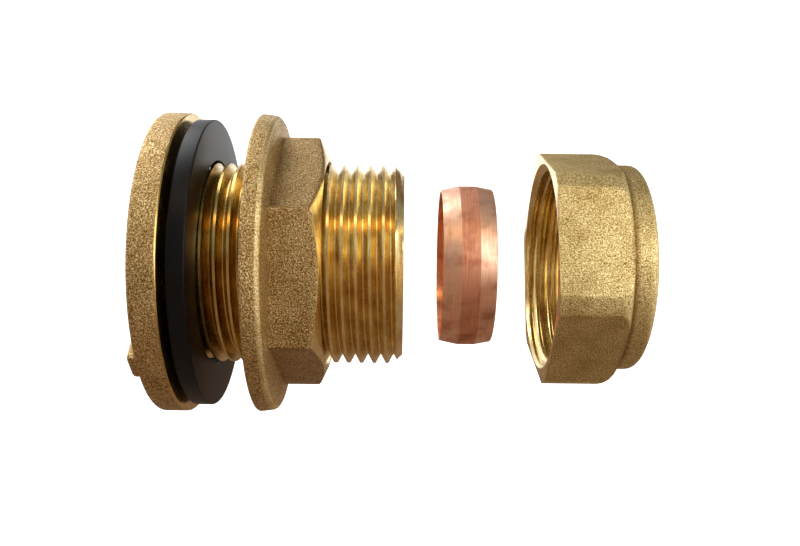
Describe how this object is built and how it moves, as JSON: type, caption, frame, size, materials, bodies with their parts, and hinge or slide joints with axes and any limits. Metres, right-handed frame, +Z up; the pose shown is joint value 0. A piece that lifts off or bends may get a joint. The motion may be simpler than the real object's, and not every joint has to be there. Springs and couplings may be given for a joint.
{
  "type": "tank connector",
  "caption": "Flanged brass tank connector with a rubber sealing washer, flanged back nut, copper olive and compression nut for pipe.",
  "frame": {"origin": "centre of the flange's sealing face, on the connector's axis", "axes": "+X along the axis, out of the tank and towards the pipe; +Z up"},
  "size_m": [0.0722, 0.0448, 0.0448],
  "materials": {
    "body_brass": "turned thread and blasted flange",
    "nut_brass": "blasted forging with turned ends",
    "washer_rubber": "matt moulded",
    "olive_copper": "turned copper"
  },
  "bodies": {
    "body": {"flanged_body": "body_brass"},
    "washer": {"sealing_washer": "washer_rubber"},
    "backnut": {"flanged_backnut": "nut_brass"},
    "olive": {"olive": "olive_copper"},
    "nut": {"compression_nut": "nut_brass"}
  },
  "joints": [
    {"name": "backnut_travel", "type": "slide", "parent": "body", "child": "backnut", "axis": [1, 0, 0], "range_m": [-0.0078, 0.0045]},
    {"name": "washer_slide", "type": "slide", "parent": "body", "child": "washer", "axis": [1, 0, 0], "range_m": [-0.00091, 0.00053]},
    {"name": "nut_travel", "type": "slide", "parent": "body", "child": "nut", "axis": [1, 0, 0], "range_m": [-0.0274, 0]},
    {"name": "olive_slide", "type": "slide", "parent": "body", "child": "olive", "axis": [1, 0, 0], "range_m": [-0.00861, 0]}
  ],
  "couplings": [
    {"joint": "washer_slide", "follows": "backnut_travel", "ratio": 0.1154},
    {"joint": "olive_slide", "follows": "nut_travel", "ratio": 0.3138}
  ]
}
